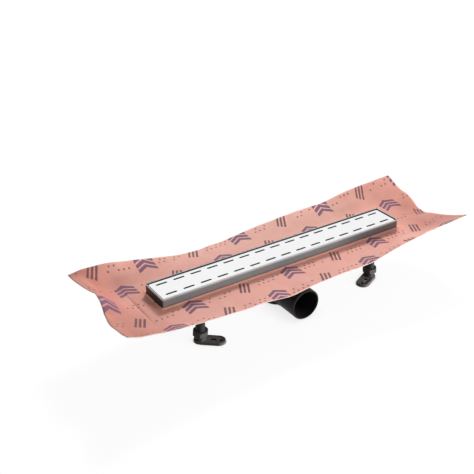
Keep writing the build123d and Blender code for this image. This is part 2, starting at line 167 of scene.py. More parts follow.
class FinishSettings(bpy.types.PropertyGroup):
    """Colours of the steel, the mouldings and the rubber."""

    cover_color: ColorProperty(
        name="Cover", description="Bright brushed cover", default=(0.95, 0.95, 0.955))
    channel_color: ColorProperty(
        name="Channel", description="Satin sheet steel", default=(0.235, 0.26, 0.268))
    fixing_color: ColorProperty(
        name="Fixings", description="Plated bushes and nuts", default=(0.55, 0.55, 0.52))
    trap_color: ColorProperty(name="Trap", description="Black moulding", default=(0.021, 0.017, 0.017))
    leg_color: ColorProperty(name="Legs", description="Dark moulding", default=(0.145, 0.139, 0.137))
    insert_color: ColorProperty(name="Insert", description="Grey moulding", default=(0.16, 0.165, 0.175))
    rubber_color: ColorProperty(name="Rubber", description="Gaskets", default=(0.014, 0.014, 0.014))


class ThreadSettings(bpy.types.PropertyGroup):
    """Thread on the studs of the levelling bolts."""

    stud_radius: LengthProperty(name="Stud radius", description="Outside of the plain stud", default=7 * MM)
    low: LengthProperty(name="Start", description="Height of the first turn", default=20.5 * MM)
    high: LengthProperty(name="End", description="Height of the last turn", default=60.0 * MM)
    pitch: LengthProperty(name="Pitch", description="Rise of one turn", default=2.0 * MM)
    height: LengthProperty(name="Height", description="Crest above the stud", default=0.22 * MM)
    root: LengthProperty(name="Root", description="Width of the ridge at the stud", default=1.3 * MM)
    crest: LengthProperty(name="Crest", description="Width of the ridge at its crest", default=0.5 * MM)
    steps: IntProperty(name="Steps", description="Steps of the mesh in one turn", default=32)


class StageSettings(bpy.types.PropertyGroup):
    """Camera, lamps and floor."""

    eye: FloatVectorProperty(
        name="Eye", description="Place of the camera", subtype="TRANSLATION", unit="LENGTH",
        default=(-0.66306, -0.87934, 0.70506))
    azimuth: FloatProperty(
        name="Azimuth", description="Heading of the view, 0 looks along +Y", subtype="ANGLE",
        default=math.radians(-33.49))
    elevation: FloatProperty(
        name="Elevation", description="Downward tilt of the view", subtype="ANGLE",
        default=math.radians(28.43))
    lens: FloatProperty(
        name="Lens", description="Focal length on a 36 mm sensor, in millimetres", default=61.35)
    floor_size: LengthProperty(name="Floor", description="Side of the floor", default=40.0)
    floor_color: ColorProperty(name="Floor colour", description="Pale floor", default=(0.62, 0.62, 0.62))
    floor_glow: FloatProperty(
        name="Floor glow", description="Share of white that the seen floor has of itself", default=0.93)
    # Painted shadow: the glow is dimmed where the floor is hemmed in under and round a piece.
    floor_shadow: FloatProperty(
        name="Floor shadow", description="Share of that glow left in the nook under a piece", default=0.8)
    floor_shade: FloatProperty(
        name="Floor shade", description="Share of the lamps' light and shade that the seen floor takes",
        default=0.16)
    surround: FloatProperty(
        name="Surround", description="Strength of the soft light from all round", default=0.20)
    key_power: FloatProperty(
        name="Key", description="Power of the lamp behind the right end, in watts", default=61.0)
    fill_power: FloatProperty(
        name="Fill", description="Power of the lamp at the front right, in watts", default=9.0)
    low_power: FloatProperty(
        name="Low lamp", description="Power of the lamp just above the floor in front, in watts",
        default=14.0)


BLACK = (0, 0, 0, 1)
WHITE = (1, 1, 1, 1)


class Wiring:
    """Adds nodes and links to one shader tree."""

    def __init__(self, tree):
        self.tree = tree

    def node(self, kind, **settings):
        made = self.tree.nodes.new(kind)
        for name, value in settings.items():
            setattr(made, name, value)
        return made

    def plug(self, value, socket):
        """Links a socket, or writes a plain value on it."""
        if isinstance(value, bpy.types.NodeSocket):
            self.tree.links.new(value, socket)
        else:
            socket.default_value = value

    def feed(self, node, values):
        """Plugs values into a node's inputs by name."""
        for name, value in values.items():
            self.plug(value, node.inputs[name])

    def math(self, operation, *values):
        made = self.node("ShaderNodeMath", operation=operation)
        for value, socket in zip(values, made.inputs):
            self.plug(value, socket)
        return made.outputs[0]

    def product(self, *values):
        total = values[0]
        for value in values[1:]:
            total = self.math("MULTIPLY", total, value)
        return total

    def absolute(self, value):
        """A value without its sign."""
        return self.math("ABSOLUTE", value)

    def split(self, vector):
        """X, Y and Z of a vector."""
        made = self.node("ShaderNodeSeparateXYZ")
        self.plug(vector, made.inputs[0])
        return made.outputs

    def noise(self, vector, scale, detail=3.0, roughness=0.5):
        made = self.node("ShaderNodeTexNoise")
        self.feed(made, {"Vector": vector, "Scale": scale, "Detail": detail, "Roughness": roughness})
        return made.outputs["Fac"]

    def spread(self, value, low, high, to_low=0.0, to_high=1.0):
        """Maps a range of a value to another range, held at its ends."""
        made = self.node("ShaderNodeMapRange")
        for entry, socket in zip((value, low, high, to_low, to_high), made.inputs):
            self.plug(entry, socket)
        return made.outputs[0]

    def between(self, mask, outside, inside):
        """One value outside a mask and another one inside it."""
        return self.spread(mask, 0.0, 1.0, outside, inside)

    def blend(self, share, first, second):
        """Mixes two colours."""
        made = self.node("ShaderNodeMix", data_type="RGBA")
        for entry, socket in zip((share, first, second), (made.inputs[0], made.inputs[6], made.inputs[7])):
            self.plug(entry, socket)
        return made.outputs[2]

    def dimmed(self, tone, color):
        """Colour scaled by a tone from 0 to 1."""
        return self.blend(tone, BLACK, color)

    def stretched(self, scale=(1, 1, 1)):
        """Object coordinates stretched by a scale for each axis."""
        place = self.node("ShaderNodeTexCoord")
        made = self.node("ShaderNodeMapping")
        self.feed(made, {"Vector": place.outputs["Object"], "Scale": scale})
        return made.outputs["Vector"]

    def heading(self):
        """X, Y and Z of the surface's own normal on the object."""
        return self.split(self.node("ShaderNodeTexCoord").outputs["Normal"])

    def bump(self, height, strength, distance, softened=0.0):
        """Bumped normal, on edges rounded to a radius where one is given."""
        made = self.node("ShaderNodeBump")
        self.feed(made, {"Strength": strength, "Distance": distance, "Height": height})
        if softened:
            rounded = self.node("ShaderNodeBevel", samples=4)
            self.feed(rounded, {"Radius": softened})
            self.feed(made, {"Normal": rounded.outputs["Normal"]})
        return made.outputs["Normal"]

    def use(self, group, **values):
        """Places a shared group and sets its inputs."""
        made = self.node("ShaderNodeGroup", node_tree=group)
        self.feed(made, values)
        return made.outputs


def opaque(color):
    """Colour with its alpha."""
    return (*color, 1.0)


def brighter(color, times):
    """Colour that is so many times brighter, up to white."""
    return [min(1.0, share * times) for share in color]


def shared_group(name, inputs, outputs, fill):
    """One shader node group, built on first use: fill(wiring, inputs) gives its outputs by name."""
    if name in bpy.data.node_groups:
        return bpy.data.node_groups[name]
    tree = bpy.data.node_groups.new(name, "ShaderNodeTree")
    for label, kind, default in inputs:
        socket = tree.interface.new_socket(label, in_out="INPUT", socket_type=kind)
        socket.default_value = default
    for label in outputs:
        tree.interface.new_socket(label, in_out="OUTPUT", socket_type="NodeSocketFloat")
    wiring = Wiring(tree)
    made = fill(wiring, wiring.node("NodeGroupInput").outputs)
    wiring.feed(wiring.node("NodeGroupOutput"), made)
    return tree


LINE_SCALE = (14, 900, 900)     # noise of the brushed lines for each axis
CLOUD_SCALE = (9, 14, 14)       # noise of the clouds in the steel's tone
LINE_SHARE = 0.6                # of the tone; the rest comes from the clouds


def brushed_grain():
    """Fine lines along X, with faint clouds of tone."""

    def fill(wiring, given):
        lines = wiring.noise(wiring.stretched(LINE_SCALE), given["Scale"], 4.0, 0.6)
        clouds = wiring.noise(wiring.stretched(CLOUD_SCALE), given["Scale"])
        tone = wiring.math(
            "ADD", wiring.product(lines, LINE_SHARE), wiring.product(clouds, 1 - LINE_SHARE))
        return {"Lines": lines, "Tone": wiring.spread(tone, 0.3, 0.7)}

    return shared_group(
        "Brushed grain", [("Scale", "NodeSocketFloat", 1.0)], ("Lines", "Tone"), fill)


UPRIGHT_LIMIT = 0.5     # a face stands upright where its normal's Z is under this
END_LIMIT = 0.7         # a face closes an end where its normal's X is over this


def facing_masks():
    """Where a solid's surface stands upright, and where it closes the ends along X."""

    def fill(wiring, given):
        heading = wiring.heading()
        soft = given["Softness"]
        before = wiring.product(soft, -1.0)
        upright = wiring.math("SUBTRACT", UPRIGHT_LIMIT, wiring.absolute(heading["Z"]))
        end = wiring.math("SUBTRACT", wiring.absolute(heading["X"]), END_LIMIT)
        return {"Upright": wiring.spread(upright, before, soft), "End": wiring.spread(end, before, soft)}

    return shared_group(
        "Facing masks", [("Softness", "NodeSocketFloat", 0.1)], ("Upright", "End"), fill)


GRAIN_SCALE = 2600      # noise of a moulding's fine grain
FLOW_SCALE = 70         # noise of its flow marks


def moulded_grain():
    """Fine spark-eroded grain and soft flow marks of a moulding."""

    def fill(wiring, given):
        place = wiring.stretched()
        grain = wiring.noise(place, wiring.product(given["Scale"], GRAIN_SCALE), 2.0)
        flow = wiring.noise(place, wiring.product(given["Scale"], FLOW_SCALE), 4.0, 0.62)
        return {"Grain": grain, "Flow": wiring.spread(flow, 0.32, 0.68)}

    return shared_group(
        "Moulded grain", [("Scale", "NodeSocketFloat", 1.0)], ("Grain", "Flow"), fill)


FIBRE_SCALE = 1500      # noise of the fleece's fibres
PATCH_SCALE = 16        # noise of its broad patches
MOTTLE_SCALE = 75       # noise of its mottle


def fleece_grain():
    """Short matted fibres, broad dull patches and a finer mottle of the sheet."""

    def fill(wiring, given):
        flat = given["Flat"]
        fibres = wiring.noise(flat, FIBRE_SCALE, 3.0, 0.7)
        patches = wiring.noise(flat, PATCH_SCALE, 4.0, 0.6)
        mottle = wiring.noise(flat, MOTTLE_SCALE, 3.0, 0.65)
        return {
            "Fibres": fibres,
            "Patches": wiring.spread(patches, 0.35, 0.7),
            "Mottle": wiring.spread(mottle, 0.35, 0.65),
        }

    return shared_group(
        "Fleece grain", [("Flat", "NodeSocketVector", (0, 0, 0))], ("Fibres", "Patches", "Mottle"), fill)


PRINT_CELL = 86 * MM        # a printed mark's share of the sheet, along and across
PRINT_ROW = 44 * MM
PRINT_SHIFT = 0.37          # each row starts this share of a cell later
CHEVRON_HALF = 16 * MM
CHEVRON_RISE = 0.55
CHEVRON_PITCH = 9 * MM
CHEVRON_BAR = 6.2 * MM
CHEVRON_COUNT = 3
STROKE_TURN = math.radians(-28)
STROKE_HALF = 13 * MM
STROKE_PITCH = 6 * MM
STROKE_BAR = 3.4 * MM
STROKE_COUNT = 3
DOT_PITCH = 8.6 * MM        # an even share of the cell
DOT_R = 1.5 * MM
DOT_ROW_GAP = 7 * MM
DOT_RUN = 22 * MM           # half length of the dotted run between two marks
DOT_SHARE = 0.7             # share of its dots that are printed
DOT_ROW_SEED = 9.0          # sets the draws of two rows of dots apart
RAGGED_SCALE = 420          # noise of the ink's uneven edges
RAGGED_EDGE = 1.6 * MM      # their unevenness
WHOLE_REPEATS = 40          # added to keep a repeated place above zero


def printed_marks():
    """Rows of chevrons and slanted strokes in turn, with rows of dots between them."""

    def fill(wiring, given):
        flat = wiring.split(given["Flat"])
        row_place = wiring.math("ADD", wiring.math("DIVIDE", flat["Y"], PRINT_ROW), 0.5)
        row = wiring.math("FLOOR", row_place)
        cell_place = wiring.math(
            "ADD", wiring.math("DIVIDE", flat["X"], PRINT_CELL), wiring.product(row, PRINT_SHIFT))
        cell = wiring.math("FLOOR", cell_place)

        def off_middle(place, length):
            """Offset from the middle of a repeat of that length."""
            return wiring.product(wiring.math("SUBTRACT", wiring.math("FRACT", place), 0.5), length)

        x = off_middle(cell_place, PRINT_CELL)
        y = off_middle(row_place, PRINT_ROW)
        turn = wiring.math("PINGPONG", wiring.math("ADD", cell, row), 1.0)
        uneven = wiring.noise(given["Flat"], RAGGED_SCALE, 2.0)
        ragged = wiring.product(wiring.math("SUBTRACT", uneven, 0.5), RAGGED_EDGE)

        def within(value, half):
            return wiring.math("LESS_THAN", wiring.absolute(wiring.math("ADD", value, ragged)), half)

        def bars(value, pitch, bar):
            """Even bars across a value, with the middle of one at zero."""
            moved = wiring.math("ADD", wiring.math("ADD", value, pitch / 2), WHOLE_REPEATS * pitch)
            return within(wiring.math("SUBTRACT", wiring.math("MODULO", moved, pitch), pitch / 2), bar / 2)

        slope = wiring.math("ADD", y, wiring.product(wiring.absolute(x), CHEVRON_RISE))
        slope = wiring.math("SUBTRACT", slope, CHEVRON_HALF * CHEVRON_RISE / 2)
        chevron = wiring.product(
            within(x, CHEVRON_HALF), within(slope, CHEVRON_COUNT * CHEVRON_PITCH / 2),
            bars(slope, CHEVRON_PITCH, CHEVRON_BAR), wiring.math("SUBTRACT", 1.0, turn))

        cos_turn = math.cos(STROKE_TURN)
        sin_turn = math.sin(STROKE_TURN)
        across = wiring.math("ADD", wiring.product(x, cos_turn), wiring.product(y, sin_turn))
        along = wiring.math("SUBTRACT", wiring.product(y, cos_turn), wiring.product(x, sin_turn))
        stroke = wiring.product(
            within(across, STROKE_COUNT * STROKE_PITCH / 2), within(along, STROKE_HALF),
            bars(across, STROKE_PITCH, STROKE_BAR), turn)

        dots = 0.0
        from_seam = wiring.math("SUBTRACT", PRINT_CELL / 2, wiring.absolute(x))
        in_run = wiring.math("LESS_THAN", from_seam, DOT_RUN)
        for side in (-1, 1):
            dot_place = wiring.math("ADD", wiring.math("DIVIDE", x, DOT_PITCH), WHOLE_REPEATS + side / 4)
            off_x = off_middle(dot_place, DOT_PITCH)
            off_y = wiring.math("SUBTRACT", y, side * DOT_ROW_GAP / 2)
            reach = wiring.math("SQRT", wiring.math(
                "ADD", wiring.product(off_x, off_x), wiring.product(off_y, off_y)))
            key = wiring.node("ShaderNodeCombineXYZ")
            wiring.plug(wiring.math("FLOOR", dot_place), key.inputs[0])
            wiring.plug(wiring.math("ADD", row, side * DOT_ROW_SEED), key.inputs[1])
            wiring.plug(cell, key.inputs[2])
            draw = wiring.node("ShaderNodeTexWhiteNoise", noise_dimensions="3D")
            wiring.plug(key.outputs[0], draw.inputs["Vector"])
            kept = wiring.math("LESS_THAN", draw.outputs["Value"], DOT_SHARE)
            dot = wiring.product(wiring.math("LESS_THAN", reach, DOT_R), kept, in_run)
            dots = wiring.math("MAXIMUM", dot, dots)
        return {"Chevrons": chevron, "Strokes": stroke, "Dots": dots}

    return shared_group(
        "Printed marks", [("Flat", "NodeSocketVector", (0, 0, 0))], ("Chevrons", "Strokes", "Dots"), fill)


def new_finish(name):
    """Empty material, its wiring and its main shader."""
    material = bpy.data.materials.new(name)
    material.use_nodes = True
    wiring = Wiring(material.node_tree)
    return material, wiring, material.node_tree.nodes["Principled BSDF"]


RIGHT_END_SHADE = 0.72       # painted shade: tone of the channel's right end against its left half
INSIDE_SHADE = 0.3           # painted shade: tone of what lies inside the upstand
INSIDE_SHADE_STEP = (0.95, 0.85)  # depths in the upstand's wall between which that painted shade starts, as shares
HIGHLIGHT_STEP = (3.5 * MM, 0.3 * MM)  # depths below the upstand's top between which its painted highlight grows
REAR_HIGHLIGHT = 0.7           # share of the painted highlight on the rear wall
REAR_HIGHLIGHT_STEP = (4 * MM, 2 * MM)    # depths inside the rear wall's face between which that starts


def painted_rim_tones(wiring, steel, highlight_color):
    """Channel's steel with painted shade, darker to the right and inside the upstand, and a painted
    highlight on the upstand's top.
    """
    place = wiring.split(wiring.stretched())
    # Painted shade: the steel darkens towards the right end.
    along = wiring.spread(place["X"], 0.0, RIM_HALF_LENGTH, 1.0, RIGHT_END_SHADE)
    outside = 0.0
    for axis, half in (("X", RIM_HALF_LENGTH), ("Y", RIM_HALF_WIDTH)):
        beyond = wiring.spread(
            wiring.absolute(place[axis]), *(half - share * RIM_WALL for share in INSIDE_SHADE_STEP))
        outside = wiring.math("MAXIMUM", beyond, outside)
    steel = wiring.dimmed(along, steel)
    # Painted shade on the upstand's inner walls.
    steel = wiring.dimmed(wiring.between(outside, INSIDE_SHADE, 1.0), steel)
    # Painted highlight on the upstand's top, weaker on the rear wall.
    top = wiring.spread(place["Z"], *(RIM_Z - depth for depth in HIGHLIGHT_STEP))
    front = wiring.spread(place["Y"], *(RIM_HALF_WIDTH - depth for depth in REAR_HIGHLIGHT_STEP), 1.0, REAR_HIGHLIGHT)
    return wiring.blend(wiring.product(top, front, outside), steel, opaque(highlight_color))


def brushed_steel(name, color, dark, roughness, metallic, upright_shade_tone=1.0, end_shade_tone=1.0, rim_highlight=None):
    """Brushed sheet steel: its tone follows the grain; its upright faces or ends may be darkened by a
    painted shade.

    With a rim highlight, the steel has the channel's painted shade, and the top of the upstand is painted
    that many times brighter as a highlight.
    """
    material, wiring, shader = new_finish(name)
    grain = wiring.use(brushed_grain(), Scale=1.0)
    facing = wiring.use(facing_masks(), Softness=0.1)
    # Painted shade: upright faces and ends along X are darkened by their tones.
    tone = wiring.product(
        wiring.between(grain["Tone"], dark, 1.0), wiring.between(facing["Upright"], 1.0, upright_shade_tone),
        wiring.between(facing["End"], 1.0, end_shade_tone))
    steel = wiring.dimmed(tone, opaque(color))
    if rim_highlight:
        steel = painted_rim_tones(wiring, steel, brighter(color, rim_highlight))
    wiring.feed(shader, {
        "Base Color": steel,
        "Roughness": wiring.spread(grain["Lines"], 0.25, 0.75, roughness - 0.06, roughness + 0.08),
        "Normal": wiring.bump(grain["Lines"], 0.12, 0.02 * MM, 0.35 * MM),
        "Metallic": metallic,
    })
    return material


HEXAGON_TONE = 0.72         # of the hexagon against the pad
STUD_TONE = 0.5             # of the stud against the hexagon
LEFT_SHADE = 0.3             # painted shade: tone of faces towards -X
LEFT_SHADE_STEP = (-0.6, -0.1)    # X of the normals between which that painted shade ends
TONE_STEP = 0.4 * MM        # height over which a tone changes


def leg_tone(wiring):
    """Tone over a leg: dullest on the stud, less so on the hexagon, and a painted shade on the faces
    towards -X.
    """
    z = wiring.split(wiring.stretched())["Z"]
    hexagon = wiring.spread(z, PAD_TOP, PAD_TOP + TONE_STEP, 1.0, HEXAGON_TONE)
    stud = wiring.spread(z, HEXAGON_TOP - TONE_STEP, HEXAGON_TOP, 1.0, STUD_TONE)
    # Painted shade on the faces towards -X.
    left = wiring.spread(wiring.heading()["X"], *LEFT_SHADE_STEP, LEFT_SHADE, 1.0)
    return wiring.product(hexagon, stud, left)


# Colours of the paler flow marks in the mouldings
TRAP_FLOW = (0.030, 0.025, 0.026)
INSERT_FLOW = (0.20, 0.205, 0.215)
RUBBER_FLOW = (0.024, 0.024, 0.024)
LEG_FLOW = (0.172, 0.163, 0.158)


def moulding(name, color, flow_color, roughness, gloss, toned=None):
    """Moulded plastic with fine grain and flow marks; a tone over its shape may be given."""
    material, wiring, shader = new_finish(name)
    grain = wiring.use(moulded_grain(), Scale=1.0)
    plastic = wiring.blend(grain["Flow"], opaque(color), opaque(flow_color))
    if toned:
        plastic = wiring.dimmed(toned(wiring), plastic)
    wiring.feed(shader, {
        "Base Color": plastic,
        "Roughness": wiring.between(grain["Flow"], roughness - 0.07, roughness + 0.07),
        "Normal": wiring.bump(grain["Grain"], 0.18, 0.05 * MM, 0.6 * MM),
        "Specular IOR Level": gloss,
    })
    return material


DEEP_SHADE_ACROSS = (-0.15, 0.65)     # painted shade: deep colour at the front and rear edges
DEEP_SHADE_ALONG = (0.1, 1.0)         # share of that painted shade up to the middle and at the flange's right end
DEEP_PATCHES = 0.5              # deep colour that the patches add
LAP_LIGHT_SHARE = 0.8                 # share of the rear lap's painted light where it is fullest
LAP_MARGIN = 20 * MM            # it is full this far from the rear edge
LAP_RIGHT = 0.3                 # share of it that is left beyond the flange's right end
LAP_LEFT = 0.2                  # share of it that is left near the left end
END_SHADE_START = 25 * MM            # painted shade on the loose ends starts this far inside the flange's ends
END_SHADE_FULL = 30 * MM             # it is full this far inside the sheet's ends
END_SHADE_LEAST = 0.75               # share of that painted shade between the patches
CORNER_END_SHADE_SHARE = 0.2               # share of it that is left at the rear right corner
SHADOW_TINT_FADE = (4 * MM, 18 * MM)   # distances from the upstand between which its painted shadow tint ends
STAIN_FREE = 0.87               # least share of the sheet's own colour in the mottle


def sheet_tones(wiring, settings, place, grain):
    """Colour of the sheet without its print: random deeper patches, then painted light and shade: deeper
    towards the rear right, a paler rear lap, darker loose ends and a redder tint where the upstand's shadow
    falls.
    """
    x, y = place["X"], place["Y"]
    half_length, half_width = settings.length / 2, settings.width / 2
    half_flange = settings.flange_length / 2
    # Painted shade: deeper towards the rear right. The patches add random deep colour on top.
    rear = wiring.spread(y, -half_width, half_width, *DEEP_SHADE_ACROSS)
    right = wiring.spread(x, 0.0, half_flange, *DEEP_SHADE_ALONG)
    patches = wiring.product(grain["Patches"], DEEP_PATCHES)
    deep = wiring.spread(wiring.math("ADD", wiring.product(rear, right), patches), 0.0, 1.0)
    color = wiring.blend(deep, opaque(settings.face_color), opaque(settings.patch_and_shade_color))
    # Painted light that makes the rear lap paler, fading towards both ends.
    lap = wiring.product(
        wiring.spread(y, RIM_HALF_WIDTH, half_width - LAP_MARGIN),
        wiring.spread(x, half_length / 2, half_flange + LAP_MARGIN, 1.0, LAP_RIGHT),
        wiring.spread(x, -half_length / 2, 0.0, LAP_LEFT, 1.0), LAP_LIGHT_SHARE)
    color = wiring.blend(lap, color, opaque(settings.lap_light_color))
    # Painted shade on the loose ends, broken up by the random patches, with less of it at the rear right
    # corner.
    end_shade_free = wiring.product(wiring.spread(x, 0.0, half_length / 2), wiring.spread(y, 0.0, half_width / 2))
    end_shade = wiring.product(
        wiring.spread(wiring.absolute(x), half_flange - END_SHADE_START, half_length - END_SHADE_FULL),
        wiring.between(grain["Patches"], END_SHADE_LEAST, 1.0), wiring.between(end_shade_free, 1.0, CORNER_END_SHADE_SHARE))
    color = wiring.blend(end_shade, color, opaque(settings.shaded_end_color))
    # Painted shade: a redder tint near the upstand, where its shadow falls.
    beyond = wiring.math(
        "MAXIMUM", wiring.math("SUBTRACT", wiring.absolute(x), RIM_HALF_LENGTH),
        wiring.math("SUBTRACT", wiring.absolute(y), RIM_HALF_WIDTH))
    color = wiring.blend(wiring.spread(beyond, *SHADOW_TINT_FADE, 1.0, 0.0), color, opaque(settings.shadow_tint_color))
    return wiring.blend(
        wiring.between(grain["Mottle"], STAIN_FREE, 1.0), opaque(settings.stain_color), color)


def printed_sheet(settings):
    """Printed upper face of the sheet."""
    material, wiring, shader = new_finish("sheet_face")
    flat = wiring.node("ShaderNodeUVMap", uv_map="flat").outputs["UV"]
    grain = wiring.use(fleece_grain(), Flat=flat)
    marks = wiring.use(printed_marks(), Flat=flat)
    color = sheet_tones(wiring, settings, wiring.split(flat), grain)
    wear = wiring.spread(grain["Fibres"], 0.3, 0.62, 0.72, 0.98)
    for mask, ink in (
        (marks["Chevrons"], settings.chevron_color),
        (marks["Strokes"], settings.stroke_color),
        (marks["Dots"], settings.stroke_color),
    ):
        color = wiring.blend(wiring.product(mask, wear), color, opaque(ink))
    wiring.feed(shader, {
        "Base Color": color,
        "Roughness": wiring.spread(grain["Fibres"], 0.3, 0.7, 0.36, 0.56),
        "Normal": wiring.bump(grain["Fibres"], 0.2, 0.1 * MM),
        "Specular IOR Level": 0.8,
    })
    return material


FIBRE_BRIGHTNESS = 1.25     # of single fibres against the bare fleece


def bare_fleece(name, color):
    """Unprinted fleece of the sheet's underside or cut edges."""
    material, wiring, shader = new_finish(name)
    flat = wiring.node("ShaderNodeUVMap", uv_map="flat").outputs["UV"]
    grain = wiring.use(fleece_grain(), Flat=flat)
    pale = brighter(color, FIBRE_BRIGHTNESS)
    wiring.feed(shader, {
        "Base Color": wiring.blend(grain["Fibres"], opaque(color), opaque(pale)),
        "Roughness": 0.85,
        "Normal": wiring.bump(grain["Fibres"], 0.4, 0.2 * MM),
    })
    return material


def edge_height(heights, share):
    """Height on a smooth curve through evenly spaced heights, at a share of its length."""
    spans = len(heights) - 1
    place = share * spans
    span = min(int(place), spans - 1)
    t = place - span
    start = heights[span]
    end = heights[span + 1]
    leaving = (end - heights[max(span - 1, 0)]) / 2
    arriving = (heights[min(span + 2, spans)] - start) / 2
    ease = t * t * (3 - 2 * t)
    return start + (end - start) * ease + leaving * t * (1 - t) ** 2 - arriving * t * t * (1 - t)


LAP_EASE = 0.15             # share of a lap over which it leaves the flange
LOOSE_RATE = 1.6            # how soon off the flange a lap counts as loose


def lap_rise(distance, lap):
    """Share of the edge's height gained at a distance outside the flange."""
    share = max(distance, 0.0) / lap
    eased = share * share * (1 + LAP_EASE) / (share + LAP_EASE)
    return (eased + share * share) / 2


# Folds of the loose laps on the flat sheet, in millimetres: from x, y to x, y, half width, height
FOLDS = (
    (-313, 20, -282, -8, 5, 1.6),
    (-299, 52, -303, 104, 7, 2.0),
    (-299, 52, -297, 2, 7, 2.0),
    (-316, -15, -298, -14, 4, -2.6),
    (-290, 92, -262, 60, 7, 1.2),
    (-300, -60, -256, -44, 8, -1.0),
    (300, 40, 262, 22, 8, 1.2),
    (306, -4, 264, -2, 10, -1.4),
    (296, 88, 258, 58, 8, -1.2),
    (-296, -97, -290, -60, 18, -4.8),
    (-115, -97, -115, -60, 26, -2.8),
    (285, -97, 285, -60, 45, -2.0),
    (-72, 97, -72, 60, 15, 2.2),
    (310, 97, 300, 60, 22, 2.2),
)
FOLD_START = 2              # how many times faster a fold fades before its start


def fold_height(x, y, start_x, start_y, end_x, end_y, half_width, height):
    """Height of one fold: rounded across its line, fading towards both ends."""
    start = Vector((start_x, start_y)) * MM
    run = Vector((end_x, end_y)) * MM - start
    off = Vector((x, y)) - start
    share = off.dot(run) / run.length_squared
    across = (off - run * share).length / (half_width * MM)
    along = max(0.0, 1 - max(share, -share * FOLD_START) ** 2)
    return height * MM * along * math.exp(-across * across)


def sheet_point(sheet, x, y):
    """Underside of the laid sheet at a point of the flat one."""
    across_x = 2 * x / sheet.length
    across_y = 2 * y / sheet.width
    end = lap_rise(abs(x) - sheet.flange_length / 2, (sheet.length - sheet.flange_length) / 2)
    side = lap_rise(abs(y) - sheet.flange_width / 2, (sheet.width - sheet.flange_width) / 2)
    long_edge = sheet.rear_lift if y > 0 else sheet.front_lift
    short_edge = sheet.right_lift if x > 0 else sheet.left_lift
    corner = long_edge[-1] if x > 0 else long_edge[0]
    side_lift = edge_height(long_edge, (across_x + 1) / 2)
    end_lift = edge_height(short_edge, (across_y + 1) / 2)
    lift = side * side_lift + end * end_lift - side * end * corner
    loose = min(1.0, max(end, side) * LOOSE_RATE)
    place = Vector((x, y, 0)) / sheet.pucker_size
    lift += sheet.pucker_height * loose * noise.noise(place)
    beyond = -x - sheet.flange_length / 2
    if beyond > 0:
        dip = math.exp(-((beyond / sheet.crease_width - 1) ** 2) * 2)
        lift -= sheet.crease_depth * dip * math.exp(-((y - sheet.crease_middle) / sheet.crease_reach) ** 2)
    from_hole = max(abs(x) - sheet.hole_length / 2, abs(y) - sheet.hole_width / 2, 0.0)
    lift += sheet.turn_up * (1 - min(from_hole / sheet.turn_width, 1.0)) ** 2
    lift += loose * sum(fold_height(x, y, *fold) for fold in FOLDS)
    if x < 0:
        off_middle = min(abs(across_y - sheet.left_pull_at) / sheet.left_pull_spread, 1.0)
        x += sheet.left_pull * end * (1 - off_middle ** 2) ** 2
    return Vector((x, y, sheet.flange_top + sheet.bond + lift))


def mesh_lines(half, marks, step):
    """Mirrored line places from -half to half that include the marks, about a step apart."""
    places = [0.0]
    for mark in sorted({*marks, half}):
        start = places[-1]
        count = max(1, round((mark - start) / step))
        places += [start + (mark - start) * (i + 1) / count for i in range(count)]
    return [-place for place in reversed(places[1:])] + places


def set_materials(thing, *materials):
    """Gives an object just these materials."""
    thing.data.materials.clear()
    for material in materials:
        thing.data.materials.append(material)


def dress(node, material):
    """Puts a finish on a solid."""
    set_materials(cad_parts[node], material)


class DRAIN_OT_sealing_sheet(bpy.types.Operator):
    """Lay the printed sheet over the flange, with its waves and its cut-out"""

    bl_idname = "drain.sealing_sheet"
    bl_label = "Sealing sheet"

    def execute(self, context):
        sheet = context.scene.drain_sheet
        half_hole = (sheet.hole_length / 2, sheet.hole_width / 2)
        crease = [sheet.flange_length / 2 + sheet.crease_width * share for share in (0, 0.5, 1, 1.5, 2)]
        turned = [sheet.turn_width * share for share in (0, 0.25, 0.5, 0.75, 1)]
        across = mesh_lines(
            sheet.length / 2, [half_hole[0] + off for off in turned] + crease, sheet.mesh_step)
        along = mesh_lines(
            sheet.width / 2, [half_hole[1] + off for off in turned] + [sheet.flange_width / 2],
            sheet.mesh_step)
        corner_cut = sheet.hole_corner * (1 - math.sqrt(0.5))
        built = bmesh.new()
        flat_layer = built.loops.layers.uv.new("flat")
        flat = {}
        grid = []
        for y in along:
            row = []
            for x in across:
                vert = built.verts.new(sheet_point(sheet, x, y))
                if (abs(x), abs(y)) == half_hole:
                    vert.co.x -= math.copysign(corner_cut, x)
                    vert.co.y -= math.copysign(corner_cut, y)
                flat[vert] = (x, y)
                row.append(vert)
            grid.append(row)
        for j in range(len(along) - 1):
            for i in range(len(across) - 1):
                middle = ((across[i] + across[i + 1]) / 2, (along[j] + along[j + 1]) / 2)
                if abs(middle[0]) < half_hole[0] and abs(middle[1]) < half_hole[1]:
                    continue
                face = built.faces.new((grid[j][i], grid[j][i + 1], grid[j + 1][i + 1], grid[j + 1][i]))
                face.smooth = True
                for loop in face.loops:
                    loop[flat_layer].uv = flat[loop.vert]
        for vert in [vert for vert in built.verts if not vert.link_faces]:
            built.verts.remove(vert)
        mesh = bpy.data.meshes.new("sealing_sheet")
        built.to_mesh(mesh)
        built.free()
        piece = bpy.data.objects.new("sealing_sheet", mesh)
        context.scene.collection.objects.link(piece)
        set_materials(
            piece, printed_sheet(sheet), bare_fleece("sheet_back", sheet.back_color),
            bare_fleece("sheet_edge", sheet.edge_color))
        body = piece.modifiers.new("thickness", "SOLIDIFY")
        body.thickness = sheet.thickness
        body.offset = 1.0
        body.use_even_offset = True
        body.material_offset = 1
        body.material_offset_rim = 2
        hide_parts("sealing_membrane")
        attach(piece, "drain")
        return {"FINISHED"}


